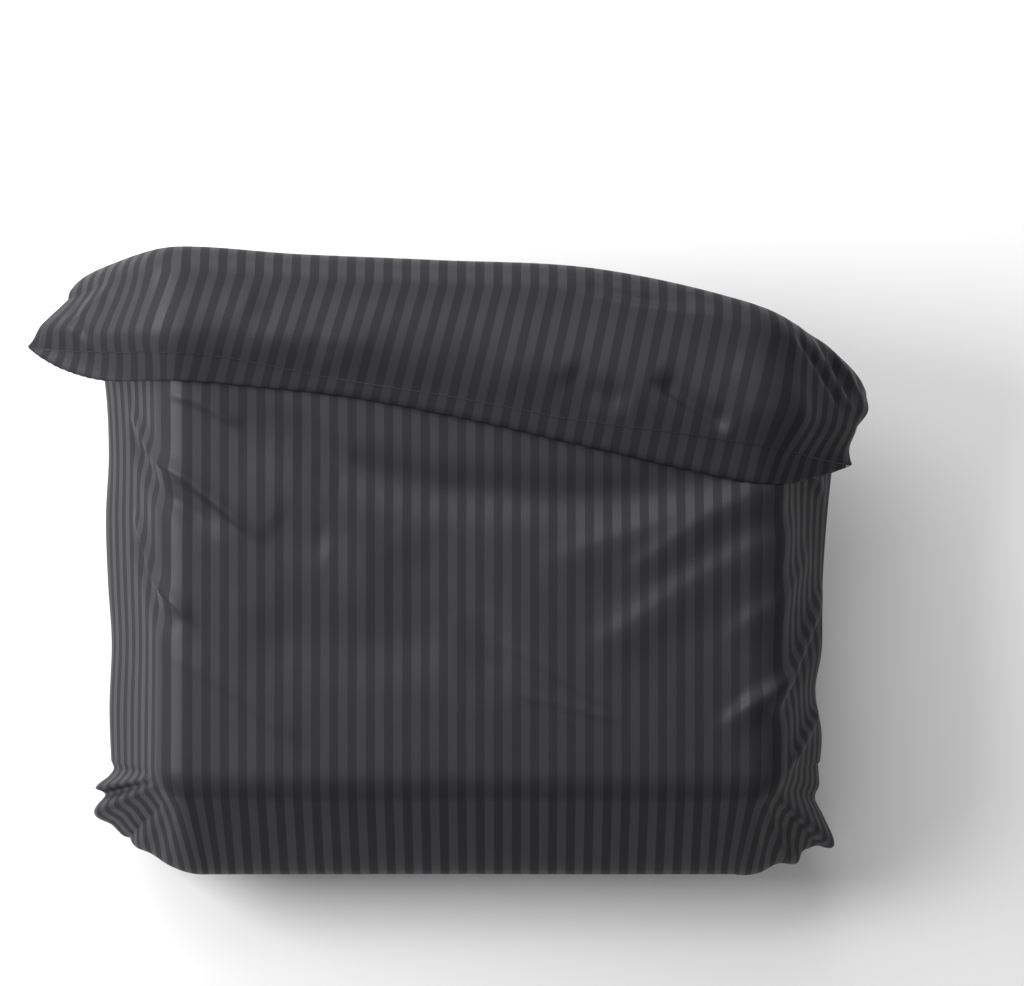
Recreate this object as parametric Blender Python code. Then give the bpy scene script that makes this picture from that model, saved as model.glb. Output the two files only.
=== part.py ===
"""A double duvet in its cover, laid over a bed with its head end turned down.

Every piece is first a flat block on a cutting table: u runs across the duvet,
v from the foot hem to the head edge, and w up through its thickness. One shared
route then folds the head end back and drapes all of it over the mattress, so
pieces that are layered flat stay layered on the bed.
The origin is on top of the mattress, at its middle; +Y points to the head end.
"""

import math

import bmesh
import bpy
from mathutils import Matrix, Vector

# The bed that the duvet lies on.
MATTRESS_WIDTH = 1.60
MATTRESS_LENGTH = 2.00

# The cover, flat and empty.
COVER_WIDTH = 2.40
COVER_LENGTH = 2.20
FABRIC = 0.001
SEAM_WIDTH = 0.008
HEM_FACING = 0.034

# How it lies.
FOOT_OVERHANG = 0.42
TURN_DOWN = 0.36
FOLD_GAP = 0.016
FOLD_SKEW = -0.09
FOLD_BOW = -0.06
EDGE_RADIUS = 0.05
SIDE_LEAN = math.radians(26.0)
FOOT_LEAN = math.radians(40.0)
FLAP_LEAN = math.radians(42.0)
FLAP_LEAN_START = -0.35
FLAP_LEAN_FULL = 0.20

# The inner duvet.
LOFT = 0.060
EDGE_THICKNESS = 0.005
EDGE_TAPER = 0.17
CASING_EASE = 0.0024
CASING_FABRIC = 0.0008
BINDING_WIDTH = 0.0057
CASSETTES_ACROSS = 6
CASSETTES_ALONG = 5
CASSETTE_GAP = 0.010
FILL_GAP = 0.0030

# The corner ties of the cover and the loops of the inner duvet.
LOOP_WIDTH = 0.0054
TIE_WIDTH = 0.0070
TIE_START = 0.030
TIE_LENGTH = 0.060

# The zip in the back of the foot hem.
ZIP_LENGTH = 1.20
ZIP_TAPE_WIDTH = 0.0112
ZIP_COIL_WIDTH = 0.0022
ZIP_COIL_HEIGHT = 0.0016
ZIP_COIL_PROUD = 0.0006
SLIDER_LENGTH = 0.010
SLIDER_WIDTH = 0.010
SLIDER_PLATE = 0.0012
SLIDER_FLANGE = 0.0014
SLIDER_PARK = 0.0005
BRIDGE_HEIGHT = 0.0034
BRIDGE_BAR = 0.0013
BRIDGE_POST = 0.0014
PULL_LENGTH = 0.026
PULL_THICKNESS = 0.0014
PULL_EYE = 0.00125
PULL_RING = 0.00205
STOP_LENGTH = 0.004

# Clearances between pieces that touch.
CLEARANCE = 0.0003
LAYER_GAP = 0.0012

ARC_STEPS = 4
FOLD_STEPS = 6
LEAN_STEPS = 3

HALF_WIDTH = COVER_WIDTH / 2
TIE_ROOM = LOOP_WIDTH + TIE_WIDTH + 4 * CLEARANCE
CASING_INSET = SEAM_WIDTH + TIE_ROOM + BINDING_WIDTH + CASING_EASE
CASING_HALF = HALF_WIDTH - CASING_INSET
CASING_FOOT = CASING_INSET
CASING_HEAD = COVER_LENGTH - CASING_INSET
MIDDLE_RADIUS = EDGE_RADIUS + LOFT / 2
FOLD_HEIGHT = LOFT + FOLD_GAP / 2
FOLD_RADIUS = FOLD_HEIGHT - LOFT / 2
FOLD_RUN = math.pi * FOLD_RADIUS
FOLD_START = COVER_LENGTH - TURN_DOWN - FOLD_RUN
PULL_START = FOOT_OVERHANG + 0.10
ARC_INSET = MATTRESS_WIDTH / 2 - EDGE_RADIUS
ZIP_LOW = HEM_FACING + CLEARANCE
ZIP_MIDDLE = ZIP_LOW + ZIP_TAPE_WIDTH + ZIP_COIL_WIDTH + 1.5 * CLEARANCE
ZIP_HIGH = 2 * ZIP_MIDDLE - ZIP_LOW
BACK_START = ZIP_HIGH + CLEARANCE
FOOT_EDGE_V = FOOT_OVERHANG + EDGE_RADIUS


def smooth(value, start, end):
    """Rise softly from 0 at start to 1 at end."""
    t = min(max((value - start) / (end - start), 0.0), 1.0)
    return t * t * (3.0 - 2.0 * t)


def edge_share(distance):
    """Share of the full loft at a distance from one edge of the cover."""
    return math.sqrt(smooth(distance, 0.0, EDGE_TAPER))


def thickness(u, v):
    """Thickness of the covered duvet at a place on the cutting table."""
    across = edge_share(HALF_WIDTH - abs(u))
    along = edge_share(min(v, COVER_LENGTH - v))
    return EDGE_THICKNESS + (LOFT - EDGE_THICKNESS) * across * along


def fold_back(u, v, w):
    """Fold the head end over along a bowed, skewed line; returns x, y and height."""
    line = FOLD_SKEW * u + FOLD_BOW * u * u
    pulled = v + line * smooth(v, PULL_START, FOLD_START)
    past = v - FOLD_START
    height = w
    if past > 0:
        turn = min(past / FOLD_RADIUS, math.pi)
        lever = FOLD_HEIGHT - w
        pulled = FOLD_START + line + lever * math.sin(turn)
        height = FOLD_HEIGHT - lever * math.cos(turn)
    if past > FOLD_RUN:
        pulled -= past - FOLD_RUN
        height -= (LOFT - EDGE_THICKNESS) * (1.0 - edge_share(COVER_LENGTH - v))
    return u, pulled - FOOT_OVERHANG - MATTRESS_LENGTH / 2, height


def hang(run, w, lean):
    """Profile over a mattress edge: how far out and how high a point is."""
    turn = min(max(run, 0.0) / MIDDLE_RADIUS, math.pi / 2 - lean)
    straight = max(run - turn * MIDDLE_RADIUS, 0.0)
    out = (EDGE_RADIUS + w) * math.sin(turn) + straight * math.cos(turn)
    up = (EDGE_RADIUS + w) * math.cos(turn) - EDGE_RADIUS - straight * math.sin(turn)
    return out, up


def drape(x, y, height):
    """Let the table's cloth hang over the sides and the foot of the mattress."""
    side = abs(x) - ARC_INSET
    foot = -y - MATTRESS_LENGTH / 2 + EDGE_RADIUS
    side_lean = SIDE_LEAN + (FLAP_LEAN - SIDE_LEAN) * smooth(y, FLAP_LEAN_START, FLAP_LEAN_FULL)
    if side <= 0 and foot <= 0:
        return Vector((x, y, height))
    run = math.hypot(max(side, 0.0), max(foot, 0.0))
    to_side = max(side, 0.0) / run
    to_foot = max(foot, 0.0) / run
    lean = side_lean * to_side**2 + FOOT_LEAN * to_foot**2
    out, up = hang(run, height, lean)
    if side > 0:
        x = math.copysign(ARC_INSET + out * to_side, x)
    if foot > 0:
        y = EDGE_RADIUS - MATTRESS_LENGTH / 2 - out * to_foot
    return Vector((x, y, up))


def on_bed(u, v, w):
    """World place of a point of the cutting table."""
    return drape(*fold_back(u, v, w))


def spread(start, end, count):
    """Evenly spaced values from start to end, both included."""
    return [start + (end - start) * step / count for step in range(count + 1)]


def crease_lines_across():
    """Values of u where the cloth bends or its thickness changes."""
    arc = MIDDLE_RADIUS * (math.pi / 2 - SIDE_LEAN)
    half = spread(ARC_INSET, ARC_INSET + arc, ARC_STEPS)
    half += spread(half[-1], CASING_HALF, 3) + [HALF_WIDTH]
    lines = spread(-CASING_HALF, CASING_HALF, CASSETTES_ACROSS)
    return merged(lines + half + [-value for value in half])


def crease_lines_along():
    """Values of v where the cloth bends or its thickness changes."""
    arc = MIDDLE_RADIUS * (math.pi / 2 - FOOT_LEAN)
    lean_change = spread(FLAP_LEAN_START, FLAP_LEAN_FULL, LEAN_STEPS)
    lines = [0.0, CASING_FOOT, BACK_START, TIE_START + TIE_LENGTH]
    lines += spread(EDGE_TAPER, FOOT_EDGE_V - arc, 2)
    lines += spread(FOOT_EDGE_V - arc, FOOT_EDGE_V, ARC_STEPS)
    lines += spread(CASING_FOOT, CASING_HEAD, CASSETTES_ALONG)
    lines += [y + FOOT_OVERHANG + MATTRESS_LENGTH / 2 for y in lean_change]
    lines += spread(FOLD_START, FOLD_START + FOLD_RUN, FOLD_STEPS)
    lines += [COVER_LENGTH - EDGE_TAPER, CASING_HEAD - TIE_LENGTH, COVER_LENGTH]
    return merged(lines)


def merged(values, apart=0.004):
    """Sorted values, without those that nearly repeat an earlier one."""
    kept = []
    for value in sorted(values):
        if not kept or value - kept[-1] > apart:
            kept.append(value)
    return kept


def stretch(lines, start, end, apart=0.003):
    """The lines inside a piece, between its own two ends."""
    inside = [value for value in lines if start + apart < value < end - apart]
    return [start] + inside + [end]


def new_material(name, colour, roughness, metallic=0.0):
    """A Principled material."""
    material = bpy.data.materials.new(name)
    material.use_nodes = True
    shader = material.node_tree.nodes["Principled BSDF"]
    shader.inputs["Base Color"].default_value = (*colour, 1.0)
    shader.inputs["Roughness"].default_value = roughness
    shader.inputs["Metallic"].default_value = metallic
    return material


def new_object(name, bm, colour, roughness, metallic=0.0):
    """Turn a bmesh into an object of the duvet's collection."""
    bmesh.ops.recalc_face_normals(bm, faces=bm.faces)
    if bm.calc_volume(signed=True) < 0:
        bmesh.ops.reverse_faces(bm, faces=bm.faces)
    mesh = bpy.data.meshes.new(name)
    bm.to_mesh(mesh)
    bm.free()
    mesh.materials.append(new_material(name, colour, roughness, metallic))
    obj = bpy.data.objects.new(name, mesh)
    bpy.data.collections["duvet"].objects.link(obj)
    return obj


CLOTH = dict(colour=(0.040, 0.040, 0.045), roughness=0.55)
SEAM_CLOTH = dict(colour=(0.030, 0.030, 0.034), roughness=0.65)
COTTON = dict(colour=(0.80, 0.79, 0.76), roughness=0.85)
FIBRE = dict(colour=(0.88, 0.87, 0.84), roughness=0.95)
ZIP_TAPE = dict(colour=(0.025, 0.025, 0.028), roughness=0.80)
ZIP_PLASTIC = dict(colour=(0.020, 0.020, 0.022), roughness=0.35)
ZIP_METAL = dict(colour=(0.30, 0.30, 0.31), roughness=0.30, metallic=1.0)


def slab(name, us, vs, low, high, look, only_rim=False):
    """A block on the cutting table, between two heights, laid on the bed."""
    across = len(us) - 1
    along = len(vs) - 1
    bm = bmesh.new()
    bmesh.ops.create_grid(bm, x_segments=across, y_segments=along, size=0.5)
    if only_rim:
        inner = [face for face in bm.faces if is_inner(face, across, along)]
        bmesh.ops.delete(bm, geom=inner, context="FACES")
    raised = bmesh.ops.extrude_face_region(bm, geom=bm.faces[:], use_keep_orig=True)
    for vert in raised["geom"]:
        if isinstance(vert, bmesh.types.BMVert):
            vert.co.z = 1.0
    for vert in bm.verts:
        u = us[round((vert.co.x + 0.5) * across)]
        v = vs[round((vert.co.y + 0.5) * along)]
        w = high(u, v) if vert.co.z > 0.5 else low(u, v)
        vert.co = on_bed(u, v, w)
    return new_object(name, bm, **look)


def is_inner(face, across, along):
    """True for a grid face that doesn't touch the grid's border."""
    middle = face.calc_center_median()
    column = int((middle.x + 0.5) * across)
    row = int((middle.y + 0.5) * along)
    return 0 < column < across - 1 and 0 < row < along - 1


def above_back(rise):
    """A height measured up from the back of the cover."""
    return lambda u, v: rise


def below_face(drop):
    """A height measured down from the face of the cover."""
    return lambda u, v: thickness(u, v) - drop


def part_way(share):
    """A height at a share of the duvet's thickness."""
    return lambda u, v: thickness(u, v) * share


def build_cover(us, vs):
    """The two cover panels, their seams and the facings of the foot hem."""
    inner = HALF_WIDTH - SEAM_WIDTH
    head = COVER_LENGTH - SEAM_WIDTH
    panel_us = stretch(us, -inner, inner)
    face_vs = stretch(vs, SEAM_WIDTH, head)
    slab("cover_face_panel", panel_us, face_vs, below_face(FABRIC), below_face(0.0), CLOTH)
    back_vs = stretch(vs, BACK_START, head)
    slab("cover_back_panel", panel_us, back_vs, above_back(0.0), above_back(FABRIC), CLOTH)

    inside = inner + CLEARANCE
    all_vs = stretch(vs, 0.0, COVER_LENGTH)
    full = (above_back(0.0), below_face(0.0))
    slab("left_edge_seam", [-HALF_WIDTH, -inside], all_vs, *full, SEAM_CLOTH)
    slab("right_edge_seam", [inside, HALF_WIDTH], all_vs, *full, SEAM_CLOTH)
    slab("head_edge_seam", panel_us, [head + CLEARANCE, COVER_LENGTH], *full, SEAM_CLOTH)
    slab("foot_hem_fold", panel_us, [0.0, SEAM_WIDTH - CLEARANCE], *full, SEAM_CLOTH)

    zip_end = ZIP_LENGTH / 2
    flat = (above_back(0.0), above_back(FABRIC))
    beside = stretch(vs, SEAM_WIDTH, BACK_START - CLEARANCE)
    left_us = stretch(us, -inner, -zip_end - CLEARANCE)
    right_us = stretch(us, zip_end + CLEARANCE, inner)
    under_us = stretch(us, -zip_end, zip_end)
    slab("hem_facing_left", left_us, beside, *flat, CLOTH)
    slab("hem_facing_right", right_us, beside, *flat, CLOTH)
    slab("hem_facing_under_zip", under_us, [SEAM_WIDTH, HEM_FACING], *flat, CLOTH)


def build_inner_duvet(us, vs):
    """The casing, its binding and the filling in its cassettes."""
    casing_us = stretch(us, -CASING_HALF, CASING_HALF)
    casing_vs = stretch(vs, CASING_FOOT, CASING_HEAD)
    near = FABRIC + LAYER_GAP
    far = near + CASING_FABRIC
    slab("casing_bottom", casing_us, casing_vs, above_back(near), above_back(far), COTTON)
    slab("casing_top", casing_us, casing_vs, below_face(far), below_face(near), COTTON)

    rim = CASING_HALF + CLEARANCE
    foot = CASING_FOOT - CLEARANCE
    head = CASING_HEAD + CLEARANCE
    rim_us = [-rim - BINDING_WIDTH] + stretch(us, -rim, rim) + [rim + BINDING_WIDTH]
    rim_vs = [foot - BINDING_WIDTH] + stretch(vs, foot, head) + [head + BINDING_WIDTH]
    slab("casing_binding", rim_us, rim_vs, part_way(0.32), part_way(0.68), COTTON, True)

    columns = spread(-CASING_HALF, CASING_HALF, CASSETTES_ACROSS)
    rows = spread(CASING_FOOT, CASING_HEAD, CASSETTES_ALONG)
    half_gap = CASSETTE_GAP / 2
    for row in range(CASSETTES_ALONG):
        for column in range(CASSETTES_ACROSS):
            name = f"filling_row{row + 1}_cell{column + 1}"
            cell_us = stretch(us, columns[column] + half_gap, columns[column + 1] - half_gap)
            cell_vs = stretch(vs, rows[row] + half_gap, rows[row + 1] - half_gap)
            slab(name, cell_us, cell_vs, above_back(far + FILL_GAP), below_face(far + FILL_GAP), FIBRE)


def build_ties(vs):
    """A tie of the cover and a loop of the inner duvet in each corner."""
    loop_in = CASING_HALF + BINDING_WIDTH + 2 * CLEARANCE
    tie_in = loop_in + LOOP_WIDTH + CLEARANCE
    spans = {
        "foot": (TIE_START, TIE_START + TIE_LENGTH),
        "head": (CASING_HEAD - TIE_LENGTH, CASING_HEAD),
    }
    middle = (part_way(0.36), part_way(0.64))
    for end, (start, stop) in spans.items():
        tape_vs = stretch(vs, start, stop)
        for side, sign in (("left", -1), ("right", 1)):
            loop_us = sorted([sign * loop_in, sign * (loop_in + LOOP_WIDTH)])
            tie_us = sorted([sign * tie_in, sign * (tie_in + TIE_WIDTH)])
            slab(f"casing_loop_{end}_{side}", loop_us, tape_vs, *middle, COTTON)
            slab(f"corner_tie_{end}_{side}", tie_us, tape_vs, *middle, SEAM_CLOTH)


def build_zip(us):
    """The two tapes and coils of the zip, and its end stops."""
    end = ZIP_LENGTH / 2
    tape_us = stretch(us, -end, end)
    tape_high_start = ZIP_HIGH - ZIP_TAPE_WIDTH
    tape_low_end = ZIP_LOW + ZIP_TAPE_WIDTH
    tape = (above_back(0.0), above_back(FABRIC))
    slab("zip_tape_lower", tape_us, [ZIP_LOW, tape_low_end], *tape, ZIP_TAPE)
    slab("zip_tape_upper", tape_us, [tape_high_start, ZIP_HIGH], *tape, ZIP_TAPE)

    inside = end - STOP_LENGTH - CLEARANCE
    coil_us = stretch(us, -inside, inside)
    coil = (above_back(-ZIP_COIL_PROUD), above_back(ZIP_COIL_HEIGHT - ZIP_COIL_PROUD))
    low_vs = [tape_low_end + CLEARANCE, ZIP_MIDDLE - CLEARANCE / 2]
    high_vs = [ZIP_MIDDLE + CLEARANCE / 2, tape_high_start - CLEARANCE]
    slab("zip_coil_lower", coil_us, low_vs, *coil, ZIP_PLASTIC)
    slab("zip_coil_upper", coil_us, high_vs, *coil, ZIP_PLASTIC)

    stop_vs = [low_vs[0], high_vs[1]]
    left_us = [-end, -inside - CLEARANCE]
    right_us = [inside + CLEARANCE, end]
    slab("zip_stop_closed_end", left_us, stop_vs, *coil, ZIP_METAL)
    slab("zip_stop_open_end", right_us, stop_vs, *coil, ZIP_METAL)


def zip_frame():
    """Matrix of the parked slider: x along the zip, y down the cloth, z off its back."""
    parked = SLIDER_PARK + STOP_LENGTH + SLIDER_LENGTH / 2 - ZIP_LENGTH / 2
    place = on_bed(parked, ZIP_MIDDLE, 0.0)
    along = Vector((1.0, 0.0, 0.0))
    down_cloth = (on_bed(parked, ZIP_MIDDLE - 0.01, 0.0) - place).normalized()
    off = along.cross(down_cloth)
    return Matrix((along, down_cloth, off)).transposed().to_4x4(), place


def box(bm, low, high):
    """Add a box between two corners to a bmesh."""
    low = Vector(low)
    high = Vector(high)
    made = bmesh.ops.create_cube(bm, size=1.0)["verts"]
    bmesh.ops.scale(bm, vec=high - low, verts=made)
    bmesh.ops.translate(bm, vec=(low + high) / 2, verts=made)


def bar_height():
    """Height of the pull's hinge axis above the back of the zip."""
    plate_top = ZIP_COIL_PROUD + CLEARANCE + SLIDER_PLATE
    return plate_top + BRIDGE_HEIGHT - BRIDGE_BAR / 2


def slider_outline():
    """Channel section of the slider across the zip, as (y, z) points."""
    half = SLIDER_WIDTH / 2
    roof = ZIP_COIL_PROUD + CLEARANCE
    top = roof + SLIDER_PLATE
    inner = half - SLIDER_FLANGE
    return [
        (-half, CLEARANCE), (-inner, CLEARANCE), (-inner, roof), (inner, roof),
        (inner, CLEARANCE), (half, CLEARANCE), (half, top), (-half, top),
    ]


def prism(name, outline, place, length, look):
    """Extrude an outline of 3-D points along a vector into an object."""
    bm = bmesh.new()
    verts = [bm.verts.new(place(*point)) for point in outline]
    face = bm.faces.new(verts)
    grown = bmesh.ops.extrude_face_region(bm, geom=[face], use_keep_orig=True)
    moved = [item for item in grown["geom"] if isinstance(item, bmesh.types.BMVert)]
    bmesh.ops.translate(bm, vec=length, verts=moved)
    return new_object(name, bm, **look)


def join_boxes(obj, boxes):
    """Union boxes into an object with Boolean modifiers."""
    for index, (low, high) in enumerate(boxes):
        bm = bmesh.new()
        box(bm, low, high)
        mesh = bpy.data.meshes.new(f"{obj.name}_cutter{index + 1}")
        bm.to_mesh(mesh)
        bm.free()
        cutter = bpy.data.objects.new(mesh.name, mesh)
        bpy.data.collections["duvet cutters"].objects.link(cutter)
        cutter.parent = obj.parent
        cutter.display_type = "WIRE"
        cutter.hide_render = True
        union = obj.modifiers.new(f"union{index + 1}", "BOOLEAN")
        union.operation = "UNION"
        union.solver = "EXACT"
        union.object = cutter


def new_pivot(name, matrix):
    """An empty that carries moving pieces."""
    pivot = bpy.data.objects.new(name, None)
    bpy.data.collections["duvet"].objects.link(pivot)
    pivot.matrix_world = matrix
    return pivot


def build_slider():
    """The slider and its pull, each under an empty on its joint's axis."""
    frame, place = zip_frame()
    slide_pivot = new_pivot("slide_pivot", Matrix.Translation(place) @ frame)
    start = -SLIDER_LENGTH / 2
    slider = prism(
        "zip_slider", slider_outline(), lambda y, z: (start, y, z),
        (SLIDER_LENGTH, 0.0, 0.0), ZIP_METAL,
    )
    slider.parent = slide_pivot
    plate_top = ZIP_COIL_PROUD + CLEARANCE + SLIDER_PLATE
    post_out = SLIDER_WIDTH / 2 - 0.0008
    post_in = post_out - BRIDGE_POST
    sunk = plate_top - SLIDER_PLATE / 2
    bar = BRIDGE_BAR / 2
    bar_low = bar_height() - bar
    bar_high = bar_height() + bar
    join_boxes(slider, [
        ((-bar, -post_out, sunk), (bar, -post_in, bar_high)),
        ((-bar, post_in, sunk), (bar, post_out, bar_high)),
        ((-bar, -post_in - bar, bar_low), (bar, post_in + bar, bar_high)),
    ])

    axis_place = place + frame.to_3x3() @ Vector((0.0, 0.0, bar_height()))
    pull_pivot = new_pivot("pull_pivot", Matrix.Translation(axis_place) @ frame)
    pull_half = post_in - CLEARANCE
    build_pull(pull_half).parent = pull_pivot


def build_pull(half_width):
    """A tag with a round eye for the bridge bar, hanging off the slider."""
    neck = PULL_THICKNESS / 2
    flat = math.asin(neck / PULL_RING)
    turns = spread(math.pi / 2 + flat, math.pi * 5 / 2 - flat, 14)
    outline = [(PULL_RING * math.cos(turn), PULL_RING * math.sin(turn)) for turn in turns]
    outline += [(neck, PULL_LENGTH), (-neck, PULL_LENGTH)]
    pull = prism(
        "zip_pull", outline, lambda x, z: (x, -half_width, z),
        (0.0, 2 * half_width, 0.0), ZIP_METAL,
    )
    bpy.ops.mesh.primitive_cylinder_add(
        vertices=16, radius=PULL_EYE, depth=4 * half_width, rotation=(math.pi / 2, 0.0, 0.0)
    )
    cutter = bpy.context.object
    cutter.name = "zip_pull_cutter"
    for collection in cutter.users_collection:
        collection.objects.unlink(cutter)
    bpy.data.collections["duvet cutters"].objects.link(cutter)
    cutter.hide_render = True
    pivot = bpy.data.objects["pull_pivot"]
    cutter.parent = pivot
    eye = pull.modifiers.new("eye", "BOOLEAN")
    eye.operation = "DIFFERENCE"
    eye.solver = "EXACT"
    eye.object = cutter
    return pull


def main():
    """Build the whole duvet."""
    for obj in list(bpy.data.objects):
        bpy.data.objects.remove(obj, do_unlink=True)
    for name in ("duvet", "duvet cutters"):
        bpy.context.scene.collection.children.link(bpy.data.collections.new(name))
    us = crease_lines_across()
    vs = crease_lines_along()
    build_cover(us, vs)
    build_inner_duvet(us, vs)
    build_ties(vs)
    build_zip(us)
    build_slider()
    cutters = bpy.context.view_layer.layer_collection.children["duvet cutters"]
    cutters.exclude = False
    print(f"duvet: {len(bpy.data.collections['duvet'].objects)} objects")


main()
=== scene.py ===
# %% [markdown]
# # A striped duvet with its head end turned down
# The object is one double duvet in a dark satin-stripe cover. It lies as it would on a mattress: flat on
# top, hanging at both sides and at the foot, with the head end folded back over itself. The mattress isn't
# part of it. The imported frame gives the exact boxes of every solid. All the cloth here is built to lie
# where those solids are.

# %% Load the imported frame
import math

import bmesh
import bpy
import numpy as np
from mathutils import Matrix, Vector


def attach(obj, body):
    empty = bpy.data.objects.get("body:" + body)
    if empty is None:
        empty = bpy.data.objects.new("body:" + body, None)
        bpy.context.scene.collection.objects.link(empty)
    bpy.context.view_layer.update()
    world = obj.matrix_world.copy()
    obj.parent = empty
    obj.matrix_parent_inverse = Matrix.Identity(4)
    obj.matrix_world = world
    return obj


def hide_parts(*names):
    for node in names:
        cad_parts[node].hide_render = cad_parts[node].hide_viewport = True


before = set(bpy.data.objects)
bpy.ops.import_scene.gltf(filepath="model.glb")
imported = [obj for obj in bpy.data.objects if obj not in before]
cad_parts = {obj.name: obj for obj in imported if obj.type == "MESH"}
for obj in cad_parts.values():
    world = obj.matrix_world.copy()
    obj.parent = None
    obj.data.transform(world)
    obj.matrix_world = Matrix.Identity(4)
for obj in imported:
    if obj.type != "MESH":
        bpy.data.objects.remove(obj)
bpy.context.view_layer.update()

# %% [markdown]
# ## Sizes
# A maker starts with the cutting table. The cover is cut 2.40 m wide and 2.20 m long. On the table, u runs
# across the duvet and v runs from the foot hem to the head edge. Everything sewn to the cover is given in u
# and v, and one route then takes any point of the table to its place on the bed.

# %% The cover on the cutting table, and the mattress it lies over
HALF_WIDTH = 1.20
COVER_LENGTH = 2.20
BED_HALF_WIDTH = 0.80
BED_HALF_LENGTH = 1.00
FOOT_OVERHANG = 0.42
EDGE_RADIUS = 0.05
HALF_LOFT = 0.030
FOLD_GAP = 0.016
FOLD_MIDDLE = 2 * HALF_LOFT + FOLD_GAP / 2
FLAP_MIDDLE = FOLD_MIDDLE + FOLD_GAP / 2 + HALF_LOFT
FOOT_Y = -BED_HALF_LENGTH - FOOT_OVERHANG


# %% Two soft curves that the whole job uses
def smooth(value, start, end):
    """Rise softly from 0 at start to 1 at end."""
    t = np.clip((value - start) / (end - start), 0.0, 1.0)
    return t * t * (3.0 - 2.0 * t)


def through(points, value):
    """A soft curve that passes through a few (place, height) points."""
    place, height = np.array(points, float).T
    slope = np.gradient(height, place)
    value = np.clip(value, place[0], place[-1])
    i = np.clip(np.searchsorted(place, value) - 1, 0, len(place) - 2)
    run = place[i + 1] - place[i]
    t = (value - place[i]) / run
    return (
        (1 + 2 * t) * (1 - t) ** 2 * height[i]
        + t * (1 - t) ** 2 * run * slope[i]
        + t * t * (3 - 2 * t) * height[i + 1]
        + t * t * (t - 1) * run * slope[i + 1]
    )


print("soft rise at the middle:", float(smooth(0.5, 0.0, 1.0)))

# %% [markdown]
# ## The soft edge
# Where two panels are sewn together over filling, each panel leaves the seam steeply and then flattens out.
# Cloth doesn't stretch, so as it rises it also covers less ground. The table below is worked out once: for
# a distance along the cloth from the seam it gives the height over the middle and the ground covered.

# %% The rise of a filled edge
EDGE_SOFTNESS = 0.034
STEEPEST = 0.98
HEAD_LIP, HEAD_LIP_RUN, HEAD_SLOPE_RUN = 0.35, 0.022, 0.16
edge_distance = np.linspace(0.0, 2.6, 5201)
edge_height = HALF_LOFT * (1.0 - np.exp(-edge_distance / EDGE_SOFTNESS))
edge_slope = np.clip(np.gradient(edge_height, edge_distance), 0, STEEPEST)
ground_share = np.sqrt(1.0 - edge_slope ** 2)
edge_ground = np.concatenate([[0.0], np.cumsum(ground_share[:-1] * np.diff(edge_distance))])


def rise(distance):
    """Height of a panel over the middle layer, at a distance from its seam; it is negative past the edge."""
    return np.sign(distance) * np.interp(np.abs(distance), edge_distance, edge_height)


def ground(distance):
    """How far in from the edge that point of the cloth lies."""
    return np.interp(np.abs(distance), edge_distance, edge_ground)


def head_rise(distance):
    """The same at the head edge, which is drawn out: a firm lip first, and then a long gentle slope."""
    away = np.abs(distance)
    share = 1.0 - HEAD_LIP * np.exp(-away / HEAD_LIP_RUN) - (1.0 - HEAD_LIP) * np.exp(-away / HEAD_SLOPE_RUN)
    return np.sign(distance) * HALF_LOFT * share


EDGE_TAKE_UP = 1.0 - float(ground(1.0))
print("cover width once filled:", round(2 * (HALF_WIDTH - EDGE_TAKE_UP), 3))

# %% [markdown]
# ## The fold
# The head end is turned down by hand, so the fold isn't straight: it is furthest up the bed a little left
# of the middle and drops to the right. The outer panel has further to go round the fold than the inner one,
# so it draws the head seam back on to the top of the turned-down part. A strip of the inner panel then
# shows below the seam. Three lines say all of this: the nose of the fold, the seam, and the width of the
# strip. Each is a curve through a few places across the bed, which is easy to change and never makes a
# corner.

# %% Lines of the turned-down part, as (across, along) points in metres
NOSE = [
    (-1.20, 0.38), (-0.80, 0.445), (-0.45, 0.425), (-0.10, 0.41),
    (0.35, 0.385), (0.80, 0.28), (1.00, 0.21), (1.20, 0.12),
]
SEAM = [
    (-1.20, 0.185), (-0.95, 0.175), (-0.63, 0.163), (-0.30, 0.104),
    (0.08, 0.043), (0.33, -0.005), (0.63, -0.045), (1.20, -0.135),
]
STRIP = [
    (-1.20, 0.0), (-1.06, 0.045), (-0.92, 0.08), (-0.73, 0.083), (-0.55, 0.07), (-0.30, 0.046),
    (0.08, 0.06), (0.33, 0.08), (0.63, 0.105), (0.90, 0.085), (1.08, 0.035), (1.20, 0.0),
]
FLAP_SKEW = 0.085


def nose_line(u):
    """How far up the bed the fold reaches."""
    return through(NOSE, u)


def strip_width(u):
    """Width of the strip of inner panel that shows below the head seam."""
    return through(STRIP, u)


def flap_edge(u):
    """Where the turned-down part ends."""
    return through(SEAM, u) - strip_width(u)


bed_middle = np.array([0.0])
print("turned down in the middle:", (nose_line(bed_middle) - flap_edge(bed_middle)).round(3))

# %% [markdown]
# ## Over the edges of the bed
# The cloth leaves the top over a rounded edge and then hangs with a lean, because the filling holds it out.
# The lean changes from place to place: it is steep at the sides, wide at the foot, and widest at the ends
# of the turned-down part. The foot corners have too much cloth for the ground they cover, and it stands out
# in pleats. A cloth simulation could find a shape like this, but not the same one each time. Here one
# function bends every layer over the edge by the same rule, so the layers stay in order and the result is
# always the same.

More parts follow.
